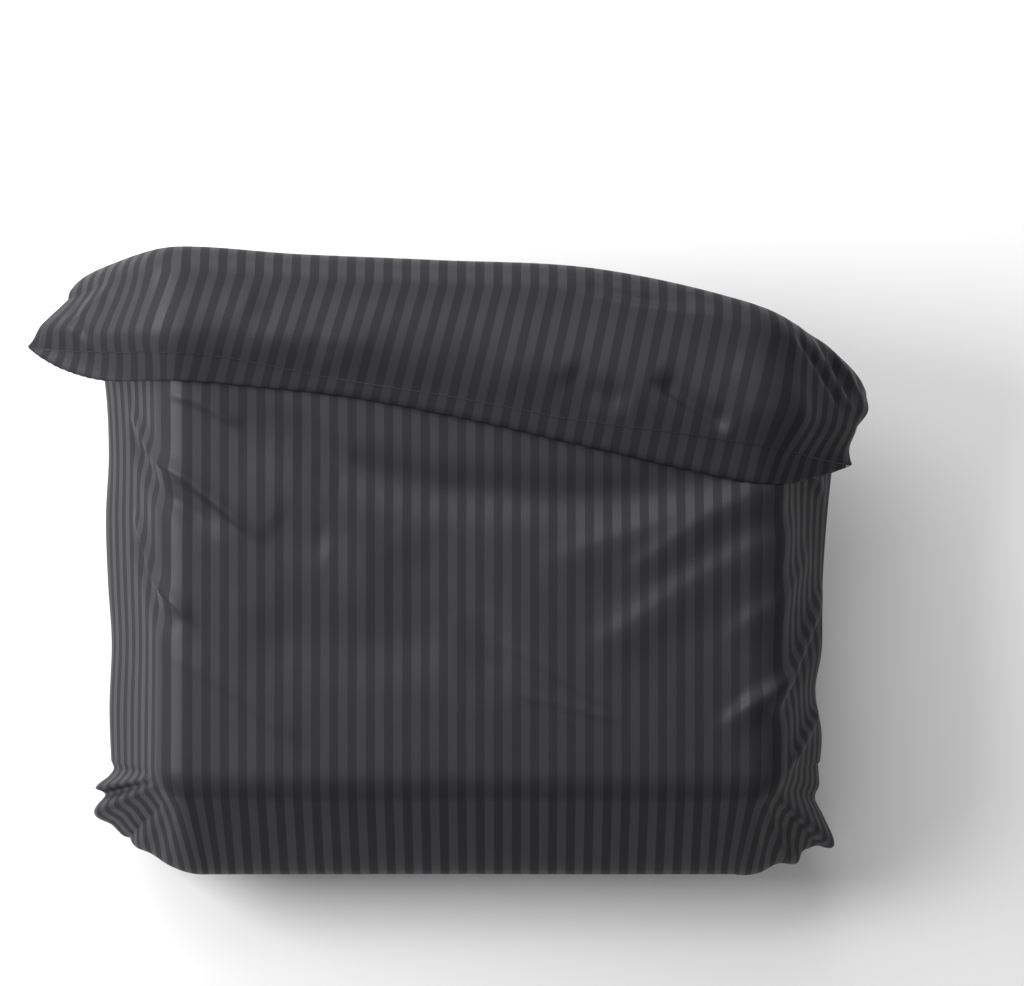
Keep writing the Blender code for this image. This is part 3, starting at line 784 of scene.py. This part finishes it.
def quilting(u, v):
    """1 in the middle of a cassette and less at its lines of stitching."""
    gap = np.full(np.broadcast(u, v).shape, FAR_AWAY)
    for line in casing_u_lines[1:-1]:
        gap = np.minimum(gap, np.abs(u - line))
    for line in casing_v_lines[1:-1]:
        gap = np.minimum(gap, np.abs(v - line))
    return 1.0 - PINCH * np.exp(-((gap / PINCH_WIDTH) ** 2))


def slack(u, v):
    """The inner duvet is thinner in the four corners, where the cover is drawn to a point."""
    ends = np.maximum(smooth(v, *SLACK_HEAD), 1.0 - smooth(v, *SLACK_FOOT))
    return 1.0 - SLACK * smooth(np.abs(u), *SLACK_SIDE) * ends


# %% The two sheets of the casing
casing_u, casing_v = np.meshgrid(
    np.linspace(casing_u_lines[0], casing_u_lines[-1], CASING_COLUMNS),
    np.linspace(casing_v_lines[0], casing_v_lines[-1], CASING_ROWS),
)
casing_level = CASING_LEVEL * quilting(casing_u, casing_v) * slack(casing_u, casing_v)
casing, casing_places = {}, {}
for name, face in (("casing_top", 1), ("casing_bottom", -1)):
    run = run_at(casing_u, casing_v, face, CASING_LEVEL, CASING_INSET)
    places, table = lay(casing_u, run, face, casing_level, CASING_INSET)
    sheet = new_piece(name + "_sheet", places, grid_faces(CASING_COLUMNS, CASING_ROWS, face < 0), table)
    casing[name] = place_piece(sheet, name)
    casing_places[name] = places
print("casing:", [len(sheet.data.polygons) for sheet in casing.values()])

# %% The binding round the casing
rim = outline(casing_places["casing_top"])
every_other = np.append(np.arange(0, len(rim), 2), 0)
binding = ridge("casing_binding_tape", rim[every_other], BINDING_THICK, BINDING_FLAT)
place_piece(binding, "casing_binding")
print("binding:", len(every_other), "rings")

# %% [markdown]
# ## The filling
# A blowing or layering machine fills each cassette with loose polyester fibre. The fill is thick in the
# middle of its cassette and thin at the stitching. Each fill is a closed pad, so it can be weighed and
# squashed on its own.

# %% The filling of the cassettes
CELL_GAP = 0.012
FILL_LEVEL = 0.66
CELL_STEPS = 13
CELL_ROUNDING = (-0.002, 0.06)


def cell_fill(row, cell):
    """The closed pad of one cassette."""
    v0, v1 = casing_v_lines[row] + CELL_GAP, casing_v_lines[row + 1] - CELL_GAP
    u0, u1 = casing_u_lines[cell] + CELL_GAP, casing_u_lines[cell + 1] - CELL_GAP
    u, v = np.meshgrid(u0 + (u1 - u0) * cell_edge, v0 + (v1 - v0) * cell_edge)
    near = np.minimum(np.minimum(u - u0, u1 - u), np.minimum(v - v0, v1 - v))
    level = FILL_LEVEL * np.sqrt(smooth(near, *CELL_ROUNDING)) * quilting(u, v) * slack(u, v)
    sides = []
    for face in (1, -1):
        run = run_at(u, v, face, FILL_LEVEL, CASING_INSET)
        sides.append(lay(u, run, face, level, CASING_INSET)[0])
    return slab(f"filling_row{row + 1}_cell{cell + 1}_pad", *sides)


cell_edge = np.linspace(0, 1, CELL_STEPS)
cells = []
for row in range(ALONG):
    for cell in range(ACROSS):
        pad = place_piece(cell_fill(row, cell), f"filling_row{row + 1}_cell{cell + 1}")
        cells.append(pad)
print("pads:", len(cells))

# %% [markdown]
# ## Ties and loops
# Without them the inner duvet slides to one end of the cover. A short ribbon is sewn into each corner of
# the cover, and a loop into each corner of the casing. The one is knotted through the other before the zip
# is closed.

# %% Corner ties and loops
TIE_START, TIE_LENGTH = 0.030, 0.060
RIBBON_COLUMNS, RIBBON_ROWS = 4, 17
RIBBON_TOP, RIBBON_LOW = 0.10, 0.04
TIE_ENDS = (("foot", TIE_START), ("head", COVER_LENGTH - TIE_START - TIE_LENGTH))
RIBBONS = (("corner_tie", 0.0130, 0.0070, "seam_cloth"), ("casing_loop", 0.0215, 0.0054, "casing_cotton"))


def ribbon(name, sign, middle, wide, first):
    """A ribbon along the left (-1) or right (1) edge; middle is how far it lies in from that edge."""
    outer_u = HALF_WIDTH - middle
    across = sign * np.linspace(outer_u - wide / 2, outer_u + wide / 2, RIBBON_COLUMNS)
    u, v = np.meshgrid(across, np.linspace(first, first + TIE_LENGTH, RIBBON_ROWS))
    return slab(name, on_table(u, v, 1, level=RIBBON_TOP), on_table(u, v, 1, level=RIBBON_LOW))


corner_ties = []
casing_trims = [binding]
for end, first in TIE_ENDS:
    for hand, sign in (("left", -1), ("right", 1)):
        for kind, middle, wide, slot in RIBBONS:
            node = f"{kind}_{end}_{hand}"
            piece = place_piece(ribbon(node + "_ribbon", sign, middle, wide, first), node)
            (corner_ties if kind == "corner_tie" else casing_trims).append(piece)
print("ties:", len(corner_ties), "loops:", len(casing_trims) - 1)

# %% [markdown]
# ## The sheets of cloth
# The cover is cut from two flat panels of 2.40 x 2.20 m and the casing from two sheets 3 cm smaller all
# round. They are bent as they lie but not stretched. The seams, facings, zip, ties and binding are sewn to
# them.

# %% [markdown]
# ## Satin stripe
# The cover is woven in one colour. In the light stripes the warp floats on top and shines. In the dark ones
# the weft is on top and it is duller. The stripe follows the table's u, so it bends with every crease. The
# threads themselves are a node group, because every other cloth here needs them too.


# %% Small helpers for building node trees
def add_node(tree, kind, inputs=None, **settings):
    """Add a node, set its settings, and set or link its inputs."""
    node = tree.nodes.new(kind)
    for key, value in settings.items():
        setattr(node, key, value)
    for key, value in (inputs or {}).items():
        if isinstance(value, bpy.types.NodeSocket):
            tree.links.new(value, node.inputs[key])
        else:
            node.inputs[key].default_value = value
    return node


def new_material(name):
    """A material with a Principled shader, ready for its nodes."""
    material = bpy.data.materials.new(name)
    material.use_nodes = True
    return material, material.node_tree, material.node_tree.nodes["Principled BSDF"]


# %% Weave as a node group, shared by every cloth
WEAVE_SOCKETS = (
    ("Place", "NodeSocketVector", "INPUT"), ("Threads", "NodeSocketFloat", "INPUT"),
    ("Height", "NodeSocketFloat", "OUTPUT"), ("Tone", "NodeSocketFloat", "OUTPUT"),
)
THREAD_WANDER = 0.6
BLOTCH_SCALE, SPECK_SCALE, SPECK_SHARE = 7.0, 420.0, 0.35


def weave_group():
    """Crossed threads over a place; it puts out a height and a slow change of tone."""
    group = bpy.data.node_groups.new("weave", "ShaderNodeTree")
    for name, kind, way in WEAVE_SOCKETS:
        group.interface.new_socket(name, in_out=way, socket_type=kind)
    given = group.nodes.new("NodeGroupInput")
    result = group.nodes.new("NodeGroupOutput")
    place = given.outputs["Place"]
    bands = {"Vector": place, "Scale": given.outputs["Threads"], "Distortion": THREAD_WANDER}
    warp = add_node(group, "ShaderNodeTexWave", bands, bands_direction="X")
    weft = add_node(group, "ShaderNodeTexWave", bands, bands_direction="Y")
    both_ways = {0: warp.outputs["Fac"], 1: weft.outputs["Fac"]}
    crossed = add_node(group, "ShaderNodeMath", both_ways, operation="ADD")
    blotch = add_node(group, "ShaderNodeTexNoise", {"Vector": place, "Scale": BLOTCH_SCALE, "Detail": 5.0})
    speck = add_node(group, "ShaderNodeTexNoise", {"Vector": place, "Scale": SPECK_SCALE, "Detail": 2.0})
    tone_parts = {0: speck.outputs["Fac"], 1: SPECK_SHARE, 2: blotch.outputs["Fac"]}
    tone = add_node(group, "ShaderNodeMath", tone_parts, operation="MULTIPLY_ADD")
    group.links.new(crossed.outputs[0], result.inputs["Height"])
    group.links.new(tone.outputs[0], result.inputs["Tone"])
    return group


weave = weave_group()
TONE_RANGE = {"From Min": 0.35, "From Max": 1.0}


def add_weave(tree, place, threads):
    """Place the weave group in a material."""
    return add_node(tree, "ShaderNodeGroup", {"Place": place, "Threads": threads}, node_tree=weave)


def add_relief(tree, shader, weave_node, distance, strength=1.0):
    """Let a weave's height tilt the surface a little."""
    height = weave_node.outputs["Height"]
    inputs = {"Height": height, "Distance": distance, "Strength": strength}
    relief = add_node(tree, "ShaderNodeBump", inputs)
    tree.links.new(relief.outputs[0], shader.inputs["Normal"])


def blend(tree, share, dark, light):
    """A colour between a dark and a light one."""
    colour = add_node(tree, "ShaderNodeMix", {0: share}, data_type="RGBA")
    colour.inputs[6].default_value = (*dark, 1)
    colour.inputs[7].default_value = (*light, 1)
    return colour.outputs[2]


print("weave sockets:", [name for name, _, _ in WEAVE_SOCKETS])

# %% The satin stripe
STRIPE_PITCH = 0.0486
STRIPE_START = 0.0054
STRIPE_EDGE = (0.238, 0.262)
STRIPE_DARK, STRIPE_LIGHT = (0.0122, 0.0117, 0.0150), (0.0240, 0.0231, 0.0282)
DULL_ROUGH, SATIN_ROUGH = 0.70, 0.52
SATIN_TONE = {"To Min": 0.88, "To Max": 1.14}
THREADS_PER_METRE = 160.0


def stripe_mask(tree, across):
    """1 in the light stripes and 0 in the dark ones, from the place across the table."""
    counted = {0: across, 1: 1 / STRIPE_PITCH, 2: -STRIPE_START / STRIPE_PITCH}
    stripes = add_node(tree, "ShaderNodeMath", counted, operation="MULTIPLY_ADD")
    wave = add_node(tree, "ShaderNodeMath", {0: stripes.outputs[0], 1: 0.5}, operation="PINGPONG")
    step = {"Value": wave.outputs[0], "From Min": STRIPE_EDGE[0], "From Max": STRIPE_EDGE[1],
            "To Min": 1.0, "To Max": 0.0}
    return add_node(tree, "ShaderNodeMapRange", step, interpolation_type="SMOOTHSTEP").outputs[0]


def satin_stripe():
    """The cover's cloth: one dye, two ways of weaving."""
    material, tree, shader = new_material("satin_stripe")
    table = add_node(tree, "ShaderNodeUVMap", uv_map="table").outputs[0]
    across = add_node(tree, "ShaderNodeSeparateXYZ", {0: table}).outputs[0]
    mask = stripe_mask(tree, across)
    cloth = add_weave(tree, table, THREADS_PER_METRE)
    tone_inputs = {"Value": cloth.outputs["Tone"], **TONE_RANGE, **SATIN_TONE}
    tone = add_node(tree, "ShaderNodeMapRange", tone_inputs)
    dyed = blend(tree, mask, STRIPE_DARK, STRIPE_LIGHT)
    toned = add_node(tree, "ShaderNodeVectorMath", {0: dyed}, operation="SCALE")
    tree.links.new(tone.outputs[0], toned.inputs["Scale"])
    tree.links.new(toned.outputs[0], shader.inputs["Base Color"])
    rough = add_node(tree, "ShaderNodeMapRange", {"Value": mask, "To Min": DULL_ROUGH, "To Max": SATIN_ROUGH})
    tree.links.new(rough.outputs[0], shader.inputs["Roughness"])
    shader.inputs["Specular IOR Level"].default_value = 0.25
    add_relief(tree, shader, cloth, 0.00012, strength=0.5)
    return material


satin = satin_stripe()
for panel in panels.values():
    panel.data.materials.append(satin)
print("stripes across the cover:", round(2 * HALF_WIDTH / STRIPE_PITCH))

# %% [markdown]
# ## The other cloths, the nylon and the metal
# The seams and facings are the cover's cloth seen on its edge, the casing is undyed cotton, and the tapes
# are a closer twill. The coil is nylon thread and the slider a cast metal. All of them vary a little in
# tone.


# %% Plain woven finishes
def woven(name, dark, light, threads, roughness, bump):
    """A plain weave with a slow change of tone over it."""
    material, tree, shader = new_material(name)
    place = add_node(tree, "ShaderNodeTexCoord").outputs["Object"]
    cloth = add_weave(tree, place, threads)
    share = add_node(tree, "ShaderNodeMapRange", {"Value": cloth.outputs["Tone"], **TONE_RANGE})
    tree.links.new(blend(tree, share.outputs[0], dark, light), shader.inputs["Base Color"])
    shader.inputs["Roughness"].default_value = roughness
    add_relief(tree, shader, cloth, bump)
    return material


seam_finish = woven("seam_satin", (0.014, 0.013, 0.016), (0.034, 0.032, 0.038), 160.0, 0.6, 0.0003)
facing_finish = woven("facing_satin", (0.012, 0.011, 0.014), (0.026, 0.025, 0.029), 160.0, 0.6, 0.0003)
cotton_finish = woven("casing_cotton", (0.62, 0.61, 0.58), (0.86, 0.85, 0.82), 200.0, 0.8, 0.0003)
fibre_finish = woven("filling_fibre", (0.70, 0.70, 0.68), (0.92, 0.92, 0.90), 12.0, 0.95, 0.0020)
tape_finish = woven("zip_tape_twill", (0.010, 0.010, 0.012), (0.026, 0.026, 0.030), 260.0, 0.75, 0.0002)
coil_finish = woven("zip_nylon", (0.012, 0.012, 0.013), (0.022, 0.022, 0.024), 300.0, 0.35, 0.00005)
metal_finish = woven("zip_gunmetal", (0.10, 0.10, 0.11), (0.22, 0.22, 0.23), 300.0, 0.38, 0.00004)
metal_finish.node_tree.nodes["Principled BSDF"].inputs["Metallic"].default_value = 1.0

# %% Give every other piece its finish
FINISHES = (
    (seams, seam_finish), (facings, facing_finish), (tapes, tape_finish), (coils, coil_finish),
    (casing.values(), cotton_finish), (corner_ties + casing_trims, cotton_finish), (cells, fibre_finish),
)
for pieces, finish in FINISHES:
    for piece in pieces:
        piece.data.materials.append(finish)
METAL_PARTS = ("zip_slider", "zip_pull", "zip_stop_closed_end", "zip_stop_open_end")
for node in METAL_PARTS:
    solid = bpy.data.objects[node]
    for slot_of_solid in solid.material_slots:
        slot_of_solid.material = metal_finish

# %% [markdown]
# ## Camera, light and floor
# The duvet is seen from straight above with a long lens, on a white floor. A soft window on the left throws
# the shadow to the right, and a larger, softer lamp at the head end makes the foot and the right sides of
# folds darker.

# %% Camera
CAMERA_HEIGHT = 12.0
CAMERA_AIM = (0.115, -0.211)
VIEW_WIDTH = 2.738
SENSOR_WIDTH = 36.0
camera_data = bpy.data.cameras.new("camera")
camera_data.sensor_width = SENSOR_WIDTH
camera_data.lens = SENSOR_WIDTH * CAMERA_HEIGHT / VIEW_WIDTH
camera = bpy.data.objects.new("camera", camera_data)
camera.location = (*CAMERA_AIM, CAMERA_HEIGHT)
bpy.context.scene.collection.objects.link(camera)
bpy.context.scene.camera = camera
bpy.context.scene.view_settings.view_transform = "Standard"
print("lens:", round(camera_data.lens, 1), "mm")

# %% Floor
FLOOR_DROP = 0.545
FLOOR_HALF = 20.0
corners = [(x, y, -FLOOR_DROP) for x, y in ((-1, -1), (1, -1), (1, 1), (-1, 1))]
floor_mesh = bpy.data.meshes.new("floor")
floor_mesh.from_pydata([(x * FLOOR_HALF, y * FLOOR_HALF, z) for x, y, z in corners], [], [(0, 1, 2, 3)])
floor = bpy.data.objects.new("floor", floor_mesh)
bpy.context.scene.collection.objects.link(floor)
floor_material, _, floor_shader = new_material("pale_floor")
floor_shader.inputs["Base Color"].default_value = (0.86, 0.86, 0.86, 1)
floor_shader.inputs["Roughness"].default_value = 0.9
floor_mesh.materials.append(floor_material)
print("floor at", -FLOOR_DROP)


# %% Lights
def soft_light(name, place, aim, size, power):
    """A square area light that looks at a point."""
    data = bpy.data.lights.new(name, "AREA")
    data.size = size
    data.energy = power
    lamp = bpy.data.objects.new(name, data)
    lamp.location = place
    lamp.rotation_euler = (Vector(aim) - Vector(place)).to_track_quat("-Z", "Y").to_euler()
    bpy.context.scene.collection.objects.link(lamp)
    return lamp


LIGHT_AIM = (0, -0.2, 0)
soft_light("window", (-4.2, 0.4, 3.4), LIGHT_AIM, size=2.6, power=330)
soft_light("head_lamp", (-1.6, 4.6, 3.6), LIGHT_AIM, size=6.5, power=485)
world = bpy.data.worlds.new("studio")
world.use_nodes = True
background = world.node_tree.nodes["Background"]
background.inputs["Color"].default_value = (1, 1, 1, 1)
background.inputs["Strength"].default_value = 0.30
bpy.context.scene.world = world
